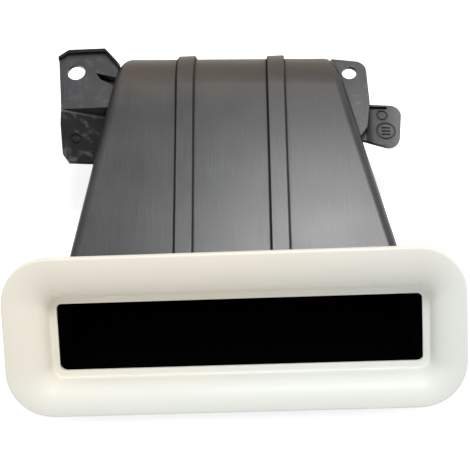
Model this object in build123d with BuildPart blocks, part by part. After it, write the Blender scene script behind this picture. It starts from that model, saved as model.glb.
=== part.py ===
from build123d import *
import os
from math import cos, radians, sin, tan

# Air intake vent: a painted bell-mouth bezel that snaps into the mouth of a moulded air duct.
# Sizes are in millimetres and degrees. X runs across the vent, Y from the intake to the rear, Z up.
# The origin lies under the middle of the whole part, on the plane of the duct's base.

# Bezel
rim_width = 300.0
rim_height = 106.0
rim_corner = 31.0
rim_land = 2.0
rim_edge_bevel = 1.2
rim_return = 5.0
rim_rise = 3.75
slot_width = 240.5
slot_height = 45.5
slot_corner = 3.5
slot_shift = 3.0
slot_above_base = 32.9
lip_width = 4.6
flare_depth = 18.6
flare_steps = 8
bezel_wall = 2.5
bezel_lean = 46.0
collar_wall = 2.2
collar_depth = 9.0
hook_width = 14.0
hook_reach = 1.6
hook_length = 5.0
hook_tip = 1.0
hook_spacing = 150.0

# Fit of the bezel in the duct
fit_gap = 0.2
hook_room = 0.4
collar_room = 1.5

# Duct
duct_wall = 2.8
roof_slope = 9.5
roof_lift = 6.2
roof_length = 162.5
roll_radius = 40.0
roll_skew = 2.3
roof_edge_radius = 7.0
neck_half_width = 111.0
neck_behind_collar = 16.0
rear_left = 78.0
rear_right = 70.5
floor_length = 78.0
outlet_rim = 6.0
outlet_corner = 8.0
sleeve_corner = 10.0

# Raised bands on the roof
band_width = 12.7
band_height = 2.5
band_spacing = 65.0
band_edge_bevel = 0.8
band_behind_mouth = 10.0

# Fixing ears. Their outlines run across by X and along the roof from a line behind the mouth.
ear_line = 157.5
ear_thick = 3.0
ear_drop = 7.0
ear_root = 60.0
ear_inner = 12.0
left_plate_outline = [
    (-122.5, -6.0),
    (-126.4, 37.5),
    (-119.0, 43.0),
    (-92.0, 43.0),
    (-81.0, 29.0),
    (-78.0, 20.0),
]
left_hole = (-113.0, 25.0)
left_hole_diameter = 13.0
left_well_outline = [(-98.5, 23.6), (-83.4, 19.1), (-84.7, 12.2), (-94.8, 18.0)]
left_well_depth = 7.0
left_well_wall = 1.8
left_lip_height = 3.0
left_lip_thick = 2.6
left_step_outline = [(0.5, -11.0), (3.5, -35.0), (8.7, -42.0)]
left_step_front = -36.5
left_step_tilt = 19.0
left_riser_thick = 2.6
right_plate_outline = [
    (70.0, 20.0),
    (73.0, 27.5),
    (97.3, 23.5),
    (98.4, -11.0),
    (95.7, -30.0),
    (89.4, -39.0),
]
right_plate_corner = 9.0
right_hole = (85.2, 15.0)
right_hole_diameter = 10.4
right_tab_outline = [(25.5, -9.5), (21.5, -45.5)]
right_tab_root = [-27.5, -7.0]
right_tab_start = 96.0
right_tab_drop = 13.0
right_tab_tilt = 5.0
right_tab_corner = 8.0
right_slot_place = (8.6, -11.4)
right_slot_length = 12.0
right_slot_width = 2.2
right_slot_depth = 2.2
mark_groove = 1.4
mark_depth = 0.9
left_marks = [(12.0, -23.0, 4.2)]
right_marks = [(11.0, -17.6, 4.2), (13.0, -30.3, 7.0)]
tick_place = (13.0, -30.3)
tick_length = 6.0
tick_width = 1.0
tick_spacing = 2.6

# Directions of the bezel and of the roof
lean = radians(bezel_lean)
slope = radians(roof_slope)
skew = radians(roll_skew)
across = Vector(1, 0, 0)
bezel_normal = Vector(0, -cos(lean), sin(lean))
bezel_up = Vector(0, sin(lean), cos(lean))
roof_normal = Vector(0, -sin(slope), cos(slope))
roof_along = Vector(0, cos(slope), sin(slope))
roll_across = across * cos(skew) - roof_along * sin(skew)
roll_along = across * sin(skew) + roof_along * cos(skew)

# The slot's middle is set so that the part reaches as far before the origin as behind it.
edge_trim = rim_edge_bevel * min(sin(lean), cos(lean))
front_reach = (rim_height / 2 - rim_rise) * sin(lean) + flare_depth * cos(lean) - edge_trim
roof_reach = slot_height / 2 * sin(lean) - roof_lift * sin(slope) + roof_length * cos(slope)
rear_reach = roof_reach + roll_radius * (1 + sin(slope))
band_lag = band_spacing / 2 * tan(skew)
slot_y = (front_reach - rear_reach - band_height - band_lag * cos(slope)) / 2
rear_y = slot_y + rear_reach
slot_middle = Vector(0, slot_y, slot_above_base)

# Working planes
bezel_plane = Plane(origin=slot_middle, x_dir=across, z_dir=bezel_normal)
mouth_plane = bezel_plane.offset(-bezel_wall - fit_gap)
roof_origin = slot_middle + bezel_up * (slot_height / 2) + roof_normal * roof_lift
roll_origin = roof_origin + roof_along * roof_length
profile_plane = Plane(origin=roll_origin, x_dir=roll_along, z_dir=roll_across)
ear_origin = roof_origin + roof_along * ear_line - roof_normal * ear_drop
ear_plane = Plane(origin=ear_origin, x_dir=across, z_dir=roof_normal)
step_x, step_s = left_plate_outline[0]
step_plane = Plane(ear_plane.location * Location((step_x, step_s, 0), (0, left_step_tilt, 0)))
riser_plane = Plane(origin=step_plane.origin, x_dir=across, z_dir=roof_along)
tab_drop = right_tab_drop - ear_drop
tab_plane = Plane(ear_plane.location * Location((right_tab_start, 0, -tab_drop), (0, right_tab_tilt, 0)))

# Outlines round the slot and the duct's mouth
crease_width = slot_width + 2 * lip_width
crease_height = slot_height + 2 * lip_width
crease_corner = slot_corner + lip_width
mouth_reach = lip_width + hook_reach + hook_room + duct_wall
mouth_half_width = slot_width / 2 + mouth_reach
sill = slot_height / 2 + mouth_reach
collar_rear_y = slot_y + crease_height / 2 * sin(lean) + (bezel_wall + collar_depth) * cos(lean)
neck_y = collar_rear_y + neck_behind_collar
sleeve_depth = collar_depth - fit_gap + collar_room + duct_wall
sill_front = slot_middle - bezel_up * sill
sill_plane = Plane(origin=sill_front, x_dir=across, z_dir=bezel_up)


def bell_form(throat_grow, rim_trim, depth):
    """Trumpet from the crease outline to the rim: its wall follows a quarter of an ellipse."""
    throat = (crease_width + 2 * throat_grow, crease_height + 2 * throat_grow, crease_corner + throat_grow)
    rim = (rim_width - 2 * rim_trim, rim_height - 2 * rim_trim, rim_corner - rim_trim)
    with BuildPart() as form:
        for step in range(flare_steps + 1):
            turn = radians(90 * step / flare_steps)
            spread = 1 - cos(turn)
            size = [inner + (outer - inner) * spread for inner, outer in zip(throat, rim)]
            with BuildSketch(bezel_plane.offset(depth * sin(turn))):
                with Locations((slot_shift * (1 - spread), rim_rise * spread)):
                    RectangleRounded(*size)
        loft(ruled=True)
    return form.part


def duct_profile(inset):
    """Side outline of the roof, the rolled rear and the rear wall, run out past the mouth and the base."""
    run_out = rim_width
    with BuildSketch(profile_plane) as outline:
        with BuildLine():
            roof = Line((-run_out, -inset), (0, -inset))
            roll = JernArc(roof @ 1, roof % 1, roll_radius - inset, -90 - roof_slope)
            rear = Line(roll @ 1, roll @ 1 + (roll % 1) * run_out)
            Polyline(rear @ 1, (-run_out, -run_out), roof @ 0)
        make_face()
    return outline.sketch


def duct_plan(inset):
    """Top outline of the duct: two side walls that draw in from the mouth to the rear."""
    taper_length = rear_y - neck_y
    left_draw = (neck_half_width - rear_left) / taper_length
    right_draw = (neck_half_width - rear_right) / taper_length
    front_run = neck_y - slot_y + rim_height
    rear_run = taper_length + roll_radius
    with BuildSketch(Plane.XY) as outline:
        with BuildLine():
            Polyline(
                (-neck_half_width - left_draw * front_run, neck_y - front_run),
                (-neck_half_width + left_draw * rear_run, neck_y + rear_run),
                (neck_half_width - right_draw * rear_run, neck_y + rear_run),
                (neck_half_width + right_draw * front_run, neck_y - front_run),
                close=True,
            )
        make_face()
        if inset > 0:
            offset(amount=-inset, kind=Kind.INTERSECTION, mode=Mode.REPLACE)
    return outline.sketch


def crown_edges(form, crosswise):
    """Long edges on both sides of the roof, the roll and the rear wall."""
    roof = form.faces().sort_by(Axis(roof_origin, roof_normal))[-1]
    roll = form.faces().filter_by(GeomType.CYLINDER).sort_by(SortBy.RADIUS)[-1]
    rear = form.faces().sort_by(Axis.Y)[-1]
    edges = ShapeList(roof.edges() + roll.edges() + rear.edges())
    for level in (Axis(roll_origin, crosswise), Axis.X):
        edges = edges.filter_by(level, reverse=True)
    return edges


def duct_form(inset):
    """The duct's closed outer form, or with an inset the air space inside its walls."""
    profile = duct_profile(inset)
    plan = duct_plan(inset)
    with BuildPart() as form:
        extrude(profile, amount=rim_width, both=True)
        extrude(plan, amount=rim_width, both=True, mode=Mode.INTERSECT)
        fillet(crown_edges(form, roll_across), radius=roof_edge_radius - inset)
        split(bisect_by=mouth_plane.offset(-inset), keep=Keep.BOTTOM)
        split(bisect_by=sill_plane.offset(inset), keep=Keep.TOP)
        with BuildSketch(mouth_plane.offset(-inset)):
            with Locations((slot_shift, 0)):
                RectangleRounded(
                    2 * (mouth_half_width - inset), 2 * (sill - inset), sleeve_corner - inset
                )
        extrude(amount=2 * inset - sleeve_depth)
        split(bisect_by=Plane.XY.offset(inset), keep=Keep.TOP)
    return form.part


def band_form():
    """One raised band that follows the roof, the roll and the rear wall down to the base."""
    start = roof_origin + roof_along * (band_behind_mouth + roof_lift)
    with BuildPart() as form:
        with BuildSketch(Plane.YZ):
            with BuildLine():
                roof = Line((start.Y, start.Z), (roll_origin.Y, roll_origin.Z))
                roll = JernArc(roof @ 1, roof % 1, roll_radius, -90 - roof_slope)
                Line(roll @ 1, (rear_y, -band_width))
            trace(line_width=2 * band_height)
        extrude(amount=band_width / 2, both=True)
        chamfer(crown_edges(form, across), length=band_edge_bevel)
    return form.part


def slot_frame(grow, mode=Mode.ADD):
    """Rounded rectangle that stands off the slot's edge by the given amount all round."""
    with Locations((slot_shift, 0)):
        RectangleRounded(slot_width + 2 * grow, slot_height + 2 * grow, slot_corner + grow, mode=mode)


def rim_frame(mode=Mode.ADD):
    """Outline of the bezel's rim."""
    with Locations((0, rim_rise)):
        RectangleRounded(rim_width, rim_height, rim_corner, mode=mode)


# Bezel
bell_back = bell_form(bezel_wall, 0, flare_depth - bezel_wall)
bell_front = bell_form(0, rim_land, flare_depth)
catch = bezel_wall + duct_wall + 2 * fit_gap
collar_top = slot_height / 2 + lip_width
hook_outline = [
    (collar_top - collar_wall / 2, catch),
    (collar_top + hook_reach, catch),
    (collar_top + hook_reach, catch + hook_tip),
    (collar_top, catch + hook_length),
    (collar_top - collar_wall / 2, catch + hook_length),
]
with BuildPart() as bezel:
    # Flared wall, rim and its returned edge
    add(bell_back)
    with BuildSketch(bezel_plane.offset(flare_depth - bezel_wall)):
        rim_frame()
    extrude(amount=bezel_wall)
    with BuildSketch(bezel_plane.offset(flare_depth - rim_return)):
        rim_frame()
        offset(amount=-bezel_wall, mode=Mode.SUBTRACT)
    extrude(amount=rim_return)
    add(bell_front, mode=Mode.SUBTRACT)
    # Flat lip, collar and slot
    with BuildSketch(bezel_plane):
        slot_frame(lip_width + bezel_wall)
    extrude(amount=-bezel_wall)
    with BuildSketch(bezel_plane.offset(-bezel_wall)):
        slot_frame(lip_width)
        slot_frame(lip_width - collar_wall, mode=Mode.SUBTRACT)
    extrude(amount=-collar_depth)
    with BuildSketch(bezel_plane):
        slot_frame(0)
    extrude(amount=-bezel_wall, mode=Mode.SUBTRACT)
    # Snap hooks over and under the collar
    for offset_x in (slot_shift - hook_spacing / 2, slot_shift + hook_spacing / 2):
        for side in (1, -1):
            hook_origin = slot_middle + across * offset_x
            with BuildSketch(Plane(origin=hook_origin, x_dir=bezel_up, z_dir=across)):
                Polygon([(side * up, -back) for up, back in hook_outline], align=None)
            extrude(amount=hook_width / 2, both=True)
    land = bezel.faces().sort_by(Axis(slot_middle, bezel_normal))[-1]
    chamfer(land.outer_wire().edges(), length=rim_edge_bevel)
bezel.part.label = "bezel"

# Air duct
outer_form = duct_form(0)
inner_form = duct_form(duct_wall)
band = band_form()
outlet_plan = duct_plan(duct_wall + outlet_rim)
outlet_front = sill_front.Y + sill_front.Z / tan(lean) + floor_length
outlet_rear = rear_y - rear_right * tan(skew) - duct_wall - outlet_rim
with BuildPart() as air_duct:
    add(outer_form)
    for side in (-1, 1):
        with Locations(across * (side * band_spacing / 2) - roof_along * (side * band_lag)):
            add(band)
    split(bisect_by=Plane.XY, keep=Keep.TOP)
    # Left ear: upper plate with a raised lip along its rear edge and a small well beside the duct
    with BuildSketch(ear_plane) as left_plate:
        Polygon(left_plate_outline + [(-ear_root, ear_inner), (-ear_root, step_s)], align=None)
    extrude(amount=-ear_thick)
    with BuildSketch(ear_plane):
        add(left_plate.sketch_local)
        with Locations((0, -left_lip_thick)):
            add(left_plate.sketch_local, mode=Mode.SUBTRACT)
    extrude(amount=left_lip_height)
    with BuildSketch(ear_plane):
        Polygon(left_well_outline, align=None)
        offset(amount=left_well_wall, kind=Kind.INTERSECTION)
    extrude(amount=-left_well_depth - left_well_wall)
    with BuildSketch(ear_plane):
        Polygon(left_well_outline, align=None)
    extrude(amount=-left_well_depth, mode=Mode.SUBTRACT)
    # Left ear: riser and the lower plate that dips towards the duct
    root_run = -ear_root - step_x
    step_rear = [(root_run, left_step_front), (root_run, left_riser_thick), (0, left_riser_thick)]
    with BuildSketch(step_plane):
        Polygon(left_step_outline + step_rear, align=None)
    extrude(amount=-ear_thick)
    root_dip = root_run * tan(radians(left_step_tilt))
    with BuildSketch(riser_plane):
        Polygon([(0, 0), (root_run, 0), (root_run, root_dip + ear_thick), (0, ear_thick)], align=None)
    extrude(amount=left_riser_thick)
    with BuildSketch(ear_plane):
        with Locations(left_hole):
            Circle(left_hole_diameter / 2)
    extrude(amount=-ear_thick, mode=Mode.SUBTRACT)
    # Right ear: upper plate, and the tab under it that droops outwards
    plate_front = right_plate_outline[-1][1]
    with BuildSketch(ear_plane) as right_plate:
        Polygon(right_plate_outline + [(ear_root, plate_front), (ear_root, ear_inner)], align=None)
        outer_corner = right_plate.vertices().sort_by_distance(right_plate_outline[2])[0]
        fillet(outer_corner, radius=right_plate_corner)
        with Locations(right_hole):
            Circle(right_hole_diameter / 2, mode=Mode.SUBTRACT)
    extrude(amount=-ear_thick)
    tab_root = [(ear_root - right_tab_start, root_s) for root_s in right_tab_root]
    with BuildSketch(tab_plane) as right_tab:
        Polygon(right_tab_outline + tab_root, align=None)
        fillet(right_tab.vertices().sort_by(Axis.X)[-2:], radius=right_tab_corner)
    extrude(amount=-ear_thick)
    with BuildSketch(tab_plane):
        with Locations(right_slot_place):
            Rectangle(right_slot_length, right_slot_width)
    extrude(amount=-right_slot_depth, mode=Mode.SUBTRACT)
    # Round moulding marks on the lower plates, and plain ticks in the large one
    for plane, marks in ((step_plane, left_marks), (tab_plane, right_marks)):
        for mark_x, mark_s, mark_radius in marks:
            with BuildSketch(plane):
                with Locations((mark_x, mark_s)):
                    Circle(mark_radius)
                    Circle(mark_radius - mark_groove, mode=Mode.SUBTRACT)
            extrude(amount=-mark_depth, mode=Mode.SUBTRACT)
    with BuildSketch(tab_plane):
        with Locations(tick_place):
            with GridLocations(0, tick_spacing, 1, 3):
                Rectangle(tick_length, tick_width)
    extrude(amount=-mark_depth, mode=Mode.SUBTRACT)
    # Air space, the mouth for the collar and the outlet in the floor
    add(inner_form, mode=Mode.SUBTRACT)
    with BuildSketch(mouth_plane):
        slot_frame(lip_width + fit_gap)
    extrude(amount=-duct_wall, mode=Mode.SUBTRACT)
    with BuildSketch(Plane.XY) as outlet:
        add(outlet_plan)
        with Locations((0, (outlet_front + outlet_rear) / 2)):
            Rectangle(rim_width, outlet_rear - outlet_front, mode=Mode.INTERSECT)
        fillet(outlet.vertices(), radius=outlet_corner)
    extrude(amount=duct_wall, mode=Mode.SUBTRACT)
air_duct.part.label = "air_duct"

os.makedirs("parts", exist_ok=True)
export_step(bezel.part, "parts/bezel.step")
export_step(air_duct.part, "parts/air_duct.step")
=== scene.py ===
"""Looks of the air intake vent: the painted bezel, the moulded duct and a plain studio stage."""
import math
from types import SimpleNamespace

import bpy
import numpy as np
from mathutils import Matrix, Vector


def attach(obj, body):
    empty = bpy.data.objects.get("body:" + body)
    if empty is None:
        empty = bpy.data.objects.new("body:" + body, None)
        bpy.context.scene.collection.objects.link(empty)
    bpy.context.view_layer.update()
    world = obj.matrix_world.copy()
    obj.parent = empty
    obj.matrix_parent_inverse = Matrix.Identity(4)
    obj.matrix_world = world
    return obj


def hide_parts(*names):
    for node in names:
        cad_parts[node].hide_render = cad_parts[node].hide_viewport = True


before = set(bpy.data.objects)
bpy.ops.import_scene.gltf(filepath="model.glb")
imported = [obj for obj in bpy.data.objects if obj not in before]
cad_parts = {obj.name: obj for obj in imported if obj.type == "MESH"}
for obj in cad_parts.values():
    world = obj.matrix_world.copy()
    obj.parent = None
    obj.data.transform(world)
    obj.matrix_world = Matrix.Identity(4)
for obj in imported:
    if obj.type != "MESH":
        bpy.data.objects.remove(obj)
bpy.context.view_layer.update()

bl_info = {
    "name": "Air intake vent",
    "version": (1, 0, 0),
    "blender": (4, 5, 0),
    "location": "View3D > Sidebar > Vent",
    "description": "Dresses the vent's bezel and duct and sets a plain studio stage",
    "category": "Object",
}


def length(name, description, default):
    """A size in metres that a user may change."""
    return bpy.props.FloatProperty(
        name=name, description=description, default=default, unit="LENGTH", precision=5
    )


def angle(name, description, degrees):
    """An angle that a user may change, given here in degrees."""
    return bpy.props.FloatProperty(
        name=name, description=description, default=math.radians(degrees), subtype="ANGLE"
    )


def colour(name, description, default):
    """A surface colour that a user may change."""
    return bpy.props.FloatVectorProperty(
        name=name, description=description, default=default, size=3, subtype="COLOR", min=0, max=1
    )


class BezelSettings(bpy.types.PropertyGroup):
    """Sizes and paint of the flared bezel."""

    rim_width: length("Rim width", "Width of the bezel over its rim", 0.300)
    rim_height: length("Rim height", "Height of the bezel over its rim", 0.106)
    rim_corner: length("Rim corner", "Corner radius of the rim", 0.031)
    rim_land: length("Rim land", "Flat width on the front of the rim", 0.002)
    rim_round: length("Rim rounding", "Radius of the rim's front edge", 0.0036)
    rim_return: length("Rim return", "How far the rim's edge turns back", 0.005)
    rim_rise: length("Rim rise", "How far the rim's middle lies above the slot's", 0.00375)
    slot_width: length("Slot width", "Width of the open slot", 0.2405)
    slot_height: length("Slot height", "Height of the open slot", 0.0455)
    slot_corner: length("Slot corner", "Corner radius of the slot", 0.0035)
    slot_shift: length("Slot shift", "How far the slot sits to the right of the rim's middle", 0.003)
    lip_width: length("Lip width", "Width of the flat lip round the slot", 0.0046)
    flare_depth: length("Flare depth", "How far the rim stands before the lip", 0.0186)
    wall: length("Wall", "Thickness of the bezel's wall", 0.0025)
    collar_wall: length("Collar wall", "Thickness of the collar behind the lip", 0.0022)
    collar_depth: length("Collar depth", "How far the collar reaches into the duct", 0.009)
    edge_round: length("Edge rounding", "Radius of the small edges", 0.0005)
    crease_round: length("Crease rounding", "Radius between the lip and the flare", 0.0011)
    lean: angle("Lean", "Angle of the slot's face above level", 46)
    slot_place: bpy.props.FloatVectorProperty(
        name="Slot place",
        description="Middle of the slot's front face",
        default=(0.0, -0.089244, 0.0329),
        size=3,
        subtype="TRANSLATION",
        unit="LENGTH",
    )
    paint: colour("Paint", "Cream of the bezel's paint", (0.86, 0.81, 0.70))
    # Painted light: the cooler, paler tone painted on the bezel's right and lower flare.
    lit_paint: colour("Cool paint", "Paler tone that the paint drifts to", (0.80, 0.82, 0.77))


class HookSettings(bpy.types.PropertyGroup):
    """Sizes of the four snap hooks on the bezel's collar."""

    width: length("Width", "Width of a hook across the vent", 0.014)
    reach: length("Reach", "How far a hook stands off the collar", 0.0016)
    run: length("Run", "Length of a hook from its catch to its end", 0.005)
    tip: length("Tip", "Thickness of a hook's catch before its ramp", 0.001)
    spacing: length("Spacing", "Distance between the two hooks of a row", 0.150)
    catch: length("Catch", "Depth of the catch behind the slot's face", 0.0057)
    edge_round: length("Edge rounding", "Radius of a hook's edges", 0.0003)


class DuctSettings(bpy.types.PropertyGroup):
    """Places and colours of the moulded duct."""

    roof_y: length("Roof start", "Place along the vent where the roof starts", -0.073902)
    roof_z: length("Roof height", "Height of the roof where it starts", 0.054818)
    slope: angle("Slope", "Rise of the roof towards the rear", 9.5)
    roll_radius: length("Roll radius", "Radius of the roof's roll at the rear", 0.040)
    roll_skew: angle("Roll skew", "Turn of the roll about the roof's normal", 2.3)
    roll_y: length("Roll place", "Place along the vent of the roll's axis", 0.092971)
    roll_z: length("Roll height", "Height of the roll's axis", 0.042188)
    neck_y: length("Neck", "Place along the vent of the neck", -0.045581)
    neck_half: length("Neck half width", "Half the width of the duct at the neck", 0.111)
    draw_left: bpy.props.FloatProperty(
        name="Left draw", description="How fast the left side draws in", default=0.18482
    )
    draw_right: bpy.props.FloatProperty(
        name="Right draw", description="How fast the right side draws in", default=0.22682
    )
    band_spacing: length("Band spacing", "Distance between the two raised bands", 0.065)
    band_width: length("Band width", "Width of a raised band", 0.0127)
    edge_round: length("Edge rounding", "Radius that the plastic's edges seem to have", 0.0007)
    plastic: colour("Plastic", "Dark grey of the moulded plastic", (0.034, 0.035, 0.037))
    streak: colour("Streak", "Paler grey of the fine flow streaks", (0.062, 0.063, 0.066))
    warm: colour("Warm", "Brownish grey where the roof rolls over", (0.076, 0.061, 0.046))
    # Pale grey for real scuffs on the ears and for a painted glint on the right tab's tip.
    scuff_and_glint: colour("Scuff", "Pale grey of the scuffs on the ears", (0.13, 0.13, 0.125))
    # Painted shade: near black mixed in at corners, beside the bands, on the ears, near the roof's edges
    # and towards its rear.
    shade_black: colour("Grime", "Near black in corners and along the bands", (0.010, 0.010, 0.010))
    # Painted shade: near black laid on the duct's inner faces for the air space in shade.
    inside: colour("Inside", "Black of the unlit air space", (0.001, 0.001, 0.001))


class StageSettings(bpy.types.PropertyGroup):
    """Floor, light and camera."""

    floor: colour("Floor", "Colour of the floor", (0.9, 0.9, 0.9))
    key: bpy.props.FloatProperty(
        name="Key", description="Power of the soft light overhead", default=7.8, subtype="POWER"
    )
    fill: bpy.props.FloatProperty(
        name="Fill", description="Power of the soft light on the left", default=1.6, subtype="POWER"
    )
    kick: bpy.props.FloatProperty(
        name="Kick", description="Power of the soft light on the right", default=2.0, subtype="POWER"
    )
    sky: bpy.props.FloatProperty(
        name="Sky", description="Strength of the light from all round", default=0.48, subtype="FACTOR"
    )
    glow: bpy.props.FloatProperty(
        name="Glow", description="White added to the floor where it is seen", default=0.6, subtype="FACTOR"
    )
    elevation: angle("Elevation", "Height of the camera above level", 55)
    turn: angle("Turn", "Turn of the camera round the vent", 4.65)
    roll: angle("Roll", "Roll of the camera about its own axis", 5.75)
    distance: length("Distance", "Distance from the camera to its target", 0.7445)
    lens: bpy.props.FloatProperty(
        name="Lens", description="Focal length", default=85.5, unit="CAMERA"
    )
    target: bpy.props.FloatVectorProperty(
        name="Target",
        description="Point in the middle of the picture",
        default=(0.00205, -0.03121, 0.0619),
        size=3,
        subtype="TRANSLATION",
        unit="LENGTH",
    )


class Value:
    """A shader socket that reads as a number: each operator adds one Math node to its tree."""

    def __init__(self, tree, socket=None):
        self.tree = tree
        self.socket = socket

    def node(self, kind, inputs, output=0, **settings):
        """Adds a node of any type: its settings first, then the values or links of its sockets."""
        node = self.tree.nodes.new(kind)
        for name, setting in settings.items():
            setattr(node, name, setting)
        for key, given in inputs.items():
            if isinstance(given, Value):
                self.tree.links.new(given.socket, node.inputs[key])
            else:
                node.inputs[key].default_value = given
        return Value(self.tree, node.outputs[output] if node.outputs else None)

    def math(self, operation, first, second=0.0):
        """One Math node on two values."""
        return self.node("ShaderNodeMath", {0: first, 1: second}, operation=operation)

    def __add__(self, other):
        return self.math("ADD", self, other)

    __radd__ = __add__

    def __sub__(self, other):
        return self.math("SUBTRACT", self, other)

    def __rsub__(self, other):
        return self.math("SUBTRACT", other, self)

    def __mul__(self, other):
        return self.math("MULTIPLY", self, other)

    __rmul__ = __mul__

    def step(self, low, high):
        """0 below the low end, 1 above the high end, and a smooth rise between them."""
        ends = {"Value": self, "From Min": low, "From Max": high}
        return self.node("ShaderNodeMapRange", ends, interpolation_type="SMOOTHSTEP")

    def mix(self, first, second):
        """The first colour where this value is 0 and the second where it is 1."""
        colours = {0: self}
        for key, given in ((6, first), (7, second)):
            colours[key] = given if isinstance(given, Value) else (*given, 1.0)
        return self.node("ShaderNodeMix", colours, output=2, data_type="RGBA")


def new_material(name):
    """An empty node material, and a Value that adds nodes to it."""
    material = bpy.data.materials.new(name)
    material.use_nodes = True
    tree = material.node_tree
    tree.nodes.clear()
    return material, Value(tree)


def set_surface(maker, shader):
    """Puts a shader on the material's output."""
    maker.node("ShaderNodeOutputMaterial", {"Surface": shader})


def place(maker):
    """Object coordinates as a vector and as its three values."""
    spot = maker.node("ShaderNodeTexCoord", {}, output="Object")
    x, y, z = (maker.node("ShaderNodeSeparateXYZ", {0: spot}, output=axis) for axis in "XYZ")
    return spot, x, y, z


def add_object(name, mesh, material):
    """Links a finished mesh at the origin, smooth, on the vent's body and with its finish."""
    mesh.shade_smooth()
    mesh.materials.append(material)
    piece = bpy.data.objects.new(name, mesh)
    bpy.context.scene.collection.objects.link(piece)
    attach(piece, "root")
    return piece


def closed_grid(name, points):
    """A mesh from a grid of points that closes on itself both ways: one quad per grid cell."""
    rows, columns = points.shape[:2]
    row, column = np.meshgrid(np.arange(rows), np.arange(columns), indexing="ij")
    after_row = (row + 1) % rows
    after_column = (column + 1) % columns
    corners = np.stack(
        [
            row * columns + column,
            row * columns + after_column,
            after_row * columns + after_column,
            after_row * columns + column,
        ],
        axis=-1,
    )
    mesh = bpy.data.meshes.new(name)
    mesh.vertices.add(rows * columns)
    mesh.vertices.foreach_set("co", points.reshape(-1))
    mesh.loops.add(corners.size)
    mesh.loops.foreach_set("vertex_index", corners.reshape(-1))
    mesh.polygons.add(rows * columns)
    mesh.polygons.foreach_set("loop_start", np.arange(rows * columns) * 4)
    mesh.update(calc_edges=True)
    mesh.validate()
    return mesh


def ring_path(arc_steps, long_steps, short_steps):
    """Corner signs and angle of each point round a rounded rectangle.

    On a corner the angle turns by a quarter circle while both signs stay. On a side the angle
    stays while the sign across it runs from one corner to the next.
    """
    arc = np.linspace(0, math.pi / 2, arc_steps, endpoint=False)
    parts = []
    sides = (
        ((1, 1), (-1, 1), long_steps),
        ((-1, 1), (-1, -1), short_steps),
        ((-1, -1), (1, -1), long_steps),
        ((1, -1), (1, 1), short_steps),
    )
    for index, (start, end, steps) in enumerate(sides):
        first = index * math.pi / 2
        along = np.linspace(0, 1, steps, endpoint=False)[:, None]
        run = np.array(start) + along * (np.array(end) - np.array(start))
        parts.append(np.column_stack([np.tile(start, (arc_steps, 1)), first + arc]))
        parts.append(np.column_stack([run, np.full(steps, first + math.pi / 2)]))
    return np.concatenate(parts)


def bezel_frame(bezel):
    """Slot middle, and the directions across, up the leaning face and out of it."""
    out = np.array([0.0, -math.cos(bezel.lean), math.sin(bezel.lean)])
    up = np.array([0.0, math.sin(bezel.lean), math.cos(bezel.lean)])
    return np.array(bezel.slot_place), np.array([1.0, 0.0, 0.0]), up, out


def slot_ring(bezel, grow, height):
    """Section that stands off the slot by an amount: half sizes, corner, middle and height."""
    return np.array(
        [
            bezel.slot_width / 2 + grow,
            bezel.slot_height / 2 + grow,
            bezel.slot_corner + grow,
            bezel.slot_shift,
            0.0,
            height,
        ]
    )


def rim_ring(bezel, trim, height):
    """Section that lies inside the rim by an amount."""
    return np.array(
        [
            bezel.rim_width / 2 - trim,
            bezel.rim_height / 2 - trim,
            bezel.rim_corner - trim,
            0.0,
            bezel.rim_rise,
            height,
        ]
    )


def flare(throat, rim, depth, steps):
    """Sections of a bell: size grows with 1 - cos and height with sin over a quarter turn."""
    turn = np.linspace(0, math.pi / 2, steps)[:, None]
    rings = throat + (rim - throat) * (1 - np.cos(turn))
    rings[:, 5] = depth * np.sin(turn[:, 0])
    return rings


def rounded(before, corner, after, radius, steps=5):
    """Sections that cut a corner of the profile with a parabola that leaves it by the radius."""
    most = 0.9
    ends = []
    for other in (before, after):
        reach = math.hypot(other[1] - corner[1], other[5] - corner[5])
        ends.append(corner + (other - corner) * min(radius / reach, most))
    t = np.linspace(0, 1, steps)[:, None]
    return (1 - t) ** 2 * ends[0] + 2 * t * (1 - t) * corner + t**2 * ends[1]


def bezel_sections(bezel):
    """Closed profile of the bezel, as sections from the slot out to the rim and back inside."""
    wall = bezel.wall
    depth = bezel.flare_depth
    back_depth = depth - wall
    collar_end = -wall - bezel.collar_depth
    collar_in = bezel.lip_width - bezel.collar_wall
    slot_back = slot_ring(bezel, 0, -wall)
    slot_front = slot_ring(bezel, 0, 0)
    crease = slot_ring(bezel, bezel.lip_width, 0)
    front = flare(crease, rim_ring(bezel, bezel.rim_land, 0), depth, steps=40)
    back = flare(slot_ring(bezel, bezel.lip_width + wall, 0), rim_ring(bezel, 0, 0), back_depth, steps=24)
    clear_of_return = back[:, 1] < bezel.rim_height / 2 - 1.3 * wall
    back = back[clear_of_return][::-1]
    rim_front = rim_ring(bezel, 0, depth)
    rim_back = rim_ring(bezel, 0, depth - bezel.rim_return)
    rim_inner = rim_ring(bezel, wall, depth - bezel.rim_return)
    heel = slot_ring(bezel, bezel.lip_width + wall, -wall)
    collar_root = slot_ring(bezel, bezel.lip_width, -wall)
    collar_rear = slot_ring(bezel, bezel.lip_width, collar_end)
    collar_rear_in = slot_ring(bezel, collar_in, collar_end)
    collar_root_in = slot_ring(bezel, collar_in, -wall)
    small = bezel.edge_round
    keep_front = front[front[:, 5] > bezel.crease_round]
    return np.concatenate(
        [
            rounded(collar_root_in, slot_back, slot_front, small),
            rounded(slot_back, slot_front, crease, small),
            rounded(slot_front, crease, keep_front[0], bezel.crease_round),
            keep_front,
            rounded(front[-1], rim_front, rim_back, bezel.rim_round, steps=9),
            rounded(rim_front, rim_back, rim_inner, small),
            rounded(rim_back, rim_inner, back[0], small),
            back,
            rounded(back[-1], heel, collar_root, small),
            rounded(heel, collar_root, collar_rear, small),
            rounded(collar_root, collar_rear, collar_rear_in, small),
            rounded(collar_rear, collar_rear_in, collar_root_in, small),
            rounded(collar_rear_in, collar_root_in, slot_back, small),
        ]
    )


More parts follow.
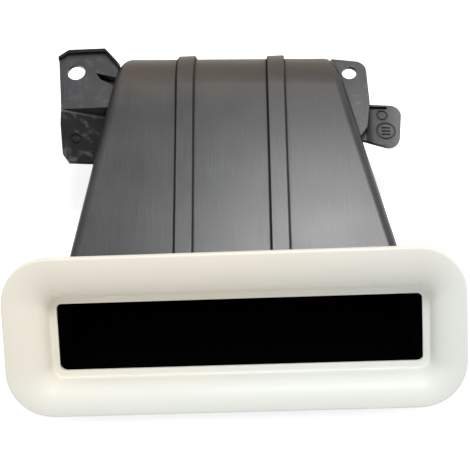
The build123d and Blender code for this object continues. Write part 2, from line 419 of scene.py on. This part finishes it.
def bezel_points(bezel):
    """Every section laid round its rounded rectangle, then turned into the leaning face.

    A point is the section's middle, plus the corner signs times the half size less the corner
    radius, plus the corner radius along the angle, and stands out of the face by its height.
    """
    half_w, half_h, corner, mid_x, mid_y, height = bezel_sections(bezel).T[:, :, None]
    sign_x, sign_y, turn = ring_path(arc_steps=14, long_steps=40, short_steps=12).T[:, None, :]
    across = mid_x + sign_x * (half_w - corner) + corner * np.cos(turn)
    rise = mid_y + sign_y * (half_h - corner) + corner * np.sin(turn)
    middle, right, up, out = bezel_frame(bezel)
    flat = across[..., None] * right + rise[..., None] * up
    return middle + flat + (height + 0 * across)[..., None] * out


def hook_points(bezel, hooks):
    """Four snap hooks: a ramped outline behind the lip, carried across by the hook's width."""
    top = bezel.slot_height / 2 + bezel.lip_width
    root = top - bezel.collar_wall / 2
    outline = np.array(
        [
            (root, hooks.catch),
            (top + hooks.reach, hooks.catch),
            (top + hooks.reach, hooks.catch + hooks.tip),
            (top, hooks.catch + hooks.run),
            (root, hooks.catch + hooks.run),
        ]
    )
    middle, right, up, out = bezel_frame(bezel)
    ends = np.array([-0.5, 0.5]) * hooks.width
    blocks = []
    for side in (1, -1):
        for shift in (-0.5, 0.5):
            across = bezel.slot_shift + shift * hooks.spacing + side * ends
            face = side * outline[:, :1] * up - outline[:, 1:] * out
            blocks.append(middle + face[None] + across[:, None, None] * right)
    return np.array(blocks)


def paint_material(bezel):
    """Cream paint with painted light: a cooler, paler tone painted on the right and below, where the flare
    faces the light differently, and a fine orange peel.
    """
    material, make = new_material("bezel_paint")
    spot, x, y, _ = place(make)
    drift = make.node("ShaderNodeTexNoise", {"Vector": spot, "Scale": 9.0, "Detail": 2.0})
    wander = 0.12
    forward_pull = 4.0
    # Painted light: the tone turns cooler and paler towards the right and below.
    lit_side = (x + drift * wander - (y - bezel.slot_place[1]) * forward_pull).step(-0.06, 0.20)
    tone = lit_side.mix(tuple(bezel.paint), tuple(bezel.lit_paint))
    peel = make.node("ShaderNodeTexNoise", {"Vector": spot, "Scale": 900.0, "Detail": 2.0})
    haze = make.node("ShaderNodeTexNoise", {"Vector": spot, "Scale": 45.0, "Detail": 4.0})
    bump = make.node("ShaderNodeBump", {"Strength": 0.05, "Distance": 0.0002, "Height": peel})
    shader = make.node(
        "ShaderNodeBsdfPrincipled",
        {
            "Base Color": tone,
            "Roughness": 0.44 + haze * 0.14,
            "Normal": bump,
            "Coat Weight": 0.06,
            "Coat Roughness": 0.12,
            "Specular IOR Level": 0.35,
        },
    )
    set_surface(make, shader)
    return material


def duct_depths(duct, x, y, z):
    """How deep a point lies under the roof's plane and inside the left and the right side wall.

    The roof's plane rises by the slope from its start, and each side draws in evenly from the neck.
    """
    under = math.cos(duct.slope) * (duct.roof_z - z) + math.sin(duct.slope) * (y - duct.roof_y)
    left = x + duct.neck_half - (y - duct.neck_y) * duct.draw_left
    right = duct.neck_half - x - (y - duct.neck_y) * duct.draw_right
    return under, left, right


def roll_space(make, duct, wall, x, y, z):
    """1 where a point is nearer to the roll's skewed axis than the radius less the wall.

    Below the axis only the distance behind it counts, as the rear wall runs straight down there.
    """
    turn = math.tan(duct.roll_skew)
    behind = y - duct.roll_y + x * turn * math.cos(duct.slope)
    above = make.math("MAXIMUM", z - duct.roll_z + x * turn * math.sin(duct.slope), 0.0)
    reach = [(duct.roll_radius - depth) ** 2 for depth in reversed(wall)]
    return 1 - (behind * behind + above * above).step(*reach)


def sleeve_space(make, bezel, x, y, z):
    """1 inside the sleeve round the bezel's collar: behind the slot's face and near its middle."""
    front_end = (0.0030, 0.0034)
    rear_end = (0.0150, 0.0152)
    half_width = (0.1272, 0.1276)
    half_height = (0.0298, 0.0302)
    _, slot_y, slot_z = bezel.slot_place
    from_y, from_z = y - slot_y, z - slot_z
    back = math.cos(bezel.lean) * from_y - math.sin(bezel.lean) * from_z
    rise = make.math("ABSOLUTE", math.sin(bezel.lean) * from_y + math.cos(bezel.lean) * from_z)
    aside = make.math("ABSOLUTE", x - bezel.slot_shift)
    between = back.step(*front_end) * (1 - back.step(*rear_end))
    return between * (1 - aside.step(*half_width)) * (1 - rise.step(*half_height))


def duct_regions(make, bezel, duct, x, y, z):
    """Masks of the duct by place: its air space, roof, painted shade near its side edges, and bands.

    The air space is where a point lies deeper than most of the wall: under the roof or the roll,
    over the base and inside both tapering sides, or inside the sleeve round the bezel's collar.
    """
    wall = (0.0020, 0.0024)
    roll_start = (0.084, 0.086)
    roof_side = (-0.001, 0.004)
    roof_skin = (0.003, 0.005)
    base_skin = (0.0006, 0.0014)
    left_round = (0.0010, 0.0060)
    right_round = (0.0003, 0.0030)
    under, left, right = duct_depths(duct, x, y, z)
    rolled = y.step(*roll_start)
    below = under.step(*wall) * (1 - rolled) + roll_space(make, duct, wall, x, y, z) * rolled
    hollow = below * left.step(*wall) * right.step(*wall)
    sleeve = sleeve_space(make, bezel, x, y, z)
    roof = left.step(*roof_side) * right.step(*roof_side)
    outer = make.math("MAXIMUM", 1 - under.step(*roof_skin), rolled) * z.step(*base_skin)
    return SimpleNamespace(
        inside=make.math("MAXIMUM", hollow, sleeve) * z.step(*wall),
        roof=roof,
        banded=outer * roof,
        # Painted shade: darker near the roof's left and right edges.
        side=make.math("MAXIMUM", 1 - left.step(*left_round), 1 - right.step(*right_round)) * roof,
        from_band=x - make.math("SIGN", x) * (duct.band_spacing / 2),
    )


def ear_regions(duct, x, y, z):
    """Masks on the ears: painted shade on the left one's plate and lip and in the right tab's nook, and a
    painted glint on the tab's tip.
    """
    off_wall = (-0.0012, -0.0004)
    plate_front, plate_rear = (0.02, 0.03), (0.0745, 0.0755)
    lip_depth, lip_front = (0.0058, 0.0064), (0.09, 0.10)
    tab_depth, tab_start = (0.0095, 0.0100), (0.0945, 0.0950)
    nook_end, glint_start = (0.0965, 0.1030), (0.106, 0.119)
    under, left, right = duct_depths(duct, x, y, z)
    left_ear = 1 - left.step(*off_wall)
    tab = (1 - right.step(*off_wall)) * x.step(*tab_start) * under.step(*tab_depth)
    return SimpleNamespace(
        # Painted shade on the left ear and along its rear lip, and in the nook where the right tab tucks
        # under its plate.
        shaded_plate=left_ear * (1 - y.step(*plate_rear)) * y.step(*plate_front),
        lip=left_ear * (1 - under.step(*lip_depth)) * y.step(*lip_front),
        shaded_nook=tab * (1 - x.step(*nook_end)),
        # Painted glint on the outer tip of the right tab.
        tip=tab * x.step(*glint_start),
    )


def band_shadow_lines(make, duct, from_band):
    """Painted shadow along both flanks of a band, fainter on the right one."""
    line = (0.0003, 0.0012)
    left_shadow, right_loss = 0.85, 0.5
    from_flank = make.math("ABSOLUTE", make.math("ABSOLUTE", from_band) - duct.band_width / 2)
    on_right = from_band.step(-0.001, 0.001)
    return (1 - from_flank.step(*line)) * (left_shadow - right_loss * on_right)


def plastic_material(bezel, duct):
    """Dark moulded plastic: fine streaks along the duct, smudges and a brownish roll, with painted shade
    in corners, beside the bands, on the ears, at the edges and towards the rear, and a painted glint on
    the right tab's tip.
    """
    material, make = new_material("duct_plastic")
    spot, x, y, z = place(make)
    region = duct_regions(make, bezel, duct, x, y, z)
    ear = ear_regions(duct, x, y, z)
    along = make.node("ShaderNodeMapping", {"Vector": spot, "Scale": (1.0, 0.015, 0.2)})
    streaks = make.node(
        "ShaderNodeTexNoise", {"Vector": along, "Scale": 1100.0, "Detail": 3.0, "Roughness": 0.6}
    )
    smudge = make.node("ShaderNodeTexNoise", {"Vector": spot, "Scale": 38.0, "Detail": 5.0})
    blotch = make.node("ShaderNodeTexNoise", {"Vector": spot, "Scale": 150.0, "Detail": 4.0})
    grain = make.node("ShaderNodeTexNoise", {"Vector": spot, "Scale": 1400.0, "Detail": 2.0})

    streaked = (streaks * 0.6 + smudge * 0.4).step(0.2, 0.8)
    tone = streaked.mix(tuple(duct.plastic), tuple(duct.streak))
    brown_roll = (y + smudge * 0.03).step(0.072, 0.122) * z.step(0.045, 0.07) * region.roof
    tone = brown_roll.mix(tone, tuple(duct.warm))
    worn = (1 - region.roof) * blotch.step(0.5, 0.72)
    # Real scuffs as random pale blotches, and a painted glint on the right tab's tip.
    tone = (worn * 0.35 * (1 - ear.tip) + ear.tip).mix(tone, tuple(duct.scuff_and_glint))

    # Painted shade: the roof darker towards its rear.
    rear_shade = y.step(0.01, 0.08) * region.roof * (1 - brown_roll)
    # Painted shadow beside the raised bands.
    band_shadows = band_shadow_lines(make, duct, region.from_band) * region.banded
    # Painted shade: ambient occlusion darkens corners and creases.
    corners = make.node("ShaderNodeAmbientOcclusion", {"Distance": 0.006}, output="AO", samples=8)
    crease_shade = 1 - corners.step(0.25, 0.85)
    # Painted shade on the left ear, in the right tab's nook, near the roof's edges and towards its rear.
    shade = ear.shaded_plate * (1 - worn * 0.5) + (ear.lip + ear.shaded_nook + region.side) * 0.8 + rear_shade * 0.16
    dark = make.math("MINIMUM", band_shadows + crease_shade * 0.9 + shade, 1.0)
    # Painted shade: the summed masks mix the plastic towards near black.
    tone = dark.mix(tone, tuple(duct.shade_black))

    edge = make.node("ShaderNodeBevel", {"Radius": duct.edge_round}, samples=6)
    relief = streaks * 0.5 + grain * 0.5
    bump = make.node(
        "ShaderNodeBump", {"Strength": 0.12, "Distance": 0.0003, "Height": relief, "Normal": edge}
    )
    satin = 0.24 + smudge * 0.12 + brown_roll * 0.22
    shell = make.node(
        "ShaderNodeBsdfPrincipled",
        {"Base Color": tone, "Roughness": satin + dark * 0.35, "Normal": bump},
    )
    # Painted shade: a near black that reflects nothing, for the inner faces.
    black = make.node(
        "ShaderNodeBsdfPrincipled",
        {"Base Color": (*duct.inside, 1.0), "Roughness": 0.9, "Specular IOR Level": 0.0},
    )
    # Painted shade: the inner faces and the most shaded places mix towards that near black.
    unlit = make.math("MAXIMUM", region.inside, dark * 0.55)
    set_surface(make, make.node("ShaderNodeMixShader", {0: unlit, 1: shell, 2: black}))
    return material


class VENT_OT_bezel(bpy.types.Operator):
    """Makes the flared bezel as one closed surface with the bezel's paint"""

    bl_idname = "vent.bezel"
    bl_label = "Bezel"

    def execute(self, context):
        bezel = context.scene.vent_bezel
        mesh = closed_grid("bezel_shell", bezel_points(bezel))
        piece = add_object("bezel_shell", mesh, paint_material(bezel))
        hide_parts("bezel")
        return {"FINISHED"}


class VENT_OT_hooks(bpy.types.Operator):
    """Makes the four snap hooks on the bezel's collar"""

    bl_idname = "vent.hooks"
    bl_label = "Snap hooks"

    def execute(self, context):
        hooks = context.scene.vent_hooks
        blocks = hook_points(context.scene.vent_bezel, hooks)
        count, ends, corners = blocks.shape[:3]
        index = np.arange(blocks.size // 3).reshape(count, ends, corners)
        near, far = index[:, 0], index[:, 1]
        next_near, next_far = np.roll(near, -1, axis=1), np.roll(far, -1, axis=1)
        sides = np.stack([near, next_near, next_far, far], axis=-1).reshape(-1, 4)
        faces = sides.tolist() + near[:, ::-1].tolist() + far.tolist()
        mesh = bpy.data.meshes.new("snap_hooks")
        mesh.from_pydata(blocks.reshape(-1, 3).tolist(), [], faces)
        piece = add_object("snap_hooks", mesh, bpy.data.materials["bezel_paint"])
        bevel = piece.modifiers.new("soft edges", "BEVEL")
        bevel.width = hooks.edge_round
        bevel.segments = 2
        return {"FINISHED"}


class VENT_OT_duct(bpy.types.Operator):
    """Gives the moulded duct its plastic"""

    bl_idname = "vent.duct"
    bl_label = "Duct"

    def execute(self, context):
        material = plastic_material(context.scene.vent_bezel, context.scene.vent_duct)
        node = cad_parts["air_duct"]
        node.data.materials.clear()
        node.data.materials.append(material)
        return {"FINISHED"}


def area_light(name, power, size, spot, target):
    """A square soft light that faces its target."""
    lamp = bpy.data.lights.new(name, "AREA")
    lamp.energy = power
    lamp.size = size
    light = bpy.data.objects.new(name, lamp)
    light.location = spot
    light.rotation_euler = (Vector(target) - Vector(spot)).to_track_quat("-Z", "Y").to_euler()
    bpy.context.scene.collection.objects.link(light)


def seen(make):
    """1 on camera, mirror and glass rays, 0 on the rays that carry soft light."""
    rays = [
        make.node("ShaderNodeLightPath", {}, output=ray)
        for ray in ("Is Camera Ray", "Is Glossy Ray", "Is Transmission Ray")
    ]
    return make.math("MINIMUM", rays[0] + rays[1] + rays[2], 1.0)


def camera_turn(stage):
    """Camera matrix from its height, turn and roll about the target."""
    back = Vector(
        (
            math.sin(stage.turn) * math.cos(stage.elevation),
            -math.cos(stage.turn) * math.cos(stage.elevation),
            math.sin(stage.elevation),
        )
    )
    level = (-back).cross(Vector((0, 0, 1))).normalized()
    above = level.cross(-back)
    right = math.cos(stage.roll) * level - math.sin(stage.roll) * above
    up = math.sin(stage.roll) * level + math.cos(stage.roll) * above
    turn = Matrix((right, up, back)).transposed().to_4x4()
    return Matrix.Translation(Vector(stage.target) + back * stage.distance) @ turn


class VENT_OT_stage(bpy.types.Operator):
    """Sets the pale floor, the soft lights, the world and the camera"""

    bl_idname = "vent.stage"
    bl_label = "Stage"

    def execute(self, context):
        scene = context.scene
        stage = scene.vent_stage
        scene.view_settings.view_transform = "Standard"
        white = (1.0, 1.0, 1.0, 1.0)

        material, make = new_material("stage_floor")
        matte = make.node("ShaderNodeBsdfDiffuse", {"Color": (*stage.floor, 1.0)})
        glow = make.node("ShaderNodeEmission", {"Color": white, "Strength": stage.glow})
        pale = make.node("ShaderNodeAddShader", {0: matte, 1: glow})
        set_surface(make, make.node("ShaderNodeMixShader", {0: seen(make), 1: matte, 2: pale}))
        mesh = bpy.data.meshes.new("floor")
        reach = 20.0
        low = -0.0004
        signs = ((-1, -1), (1, -1), (1, 1), (-1, 1))
        corners = [(across * reach, along * reach, low) for across, along in signs]
        mesh.from_pydata(corners, [], [(0, 1, 2, 3)])
        mesh.materials.append(material)
        floor = bpy.data.objects.new("floor", mesh)
        scene.collection.objects.link(floor)

        world = bpy.data.worlds.new("studio")
        world.use_nodes = True
        world.node_tree.nodes.clear()
        make = Value(world.node_tree)
        soft = make.node("ShaderNodeBackground", {"Color": white, "Strength": stage.sky})
        make.node("ShaderNodeOutputWorld", {"Surface": soft})
        scene.world = world

        lamps = [
            ("key", stage.key, 0.4, (0.12, 0.15, 1.15)),
            ("fill", stage.fill, 0.8, (-0.9, -0.5, 0.7)),
            ("kick", stage.kick, 0.8, (1.0, -0.1, 0.6)),
        ]
        for name, power, size, spot in lamps:
            area_light(name, power, size, spot, stage.target)

        lens = bpy.data.cameras.new("camera")
        lens.lens = stage.lens
        camera = bpy.data.objects.new("camera", lens)
        camera.matrix_world = camera_turn(stage)
        scene.collection.objects.link(camera)
        scene.camera = camera
        return {"FINISHED"}


class VENT_PT_panel(bpy.types.Panel):
    """Lists the vent's settings and steps"""

    bl_idname = "VENT_PT_panel"
    bl_label = "Air intake vent"
    bl_space_type = "VIEW_3D"
    bl_region_type = "UI"
    bl_category = "Vent"

    def draw(self, context):
        for group in (name for name, _ in groups):
            settings = getattr(context.scene, group)
            box = self.layout.box()
            box.label(text=settings.bl_rna.name)
            for name in settings.__annotations__:
                box.prop(settings, name)
        for step in steps:
            self.layout.operator(step.bl_idname)


groups = [
    ("vent_bezel", BezelSettings),
    ("vent_hooks", HookSettings),
    ("vent_duct", DuctSettings),
    ("vent_stage", StageSettings),
]
steps = [VENT_OT_bezel, VENT_OT_hooks, VENT_OT_duct, VENT_OT_stage]


def register():
    """Adds the settings, the steps and the panel to Blender."""
    for name, group in groups:
        bpy.utils.register_class(group)
        setattr(bpy.types.Scene, name, bpy.props.PointerProperty(type=group))
    for step in steps:
        bpy.utils.register_class(step)
    bpy.utils.register_class(VENT_PT_panel)


def unregister():
    """Takes away what register added."""
    bpy.utils.unregister_class(VENT_PT_panel)
    for step in reversed(steps):
        bpy.utils.unregister_class(step)
    for name, group in reversed(groups):
        delattr(bpy.types.Scene, name)
        bpy.utils.unregister_class(group)


def main():
    """Registers the settings and steps, then runs every step in order."""
    register()
    bpy.ops.vent.bezel()
    bpy.ops.vent.hooks()
    bpy.ops.vent.duct()
    bpy.ops.vent.stage()


if __name__ == "__main__":
    main()
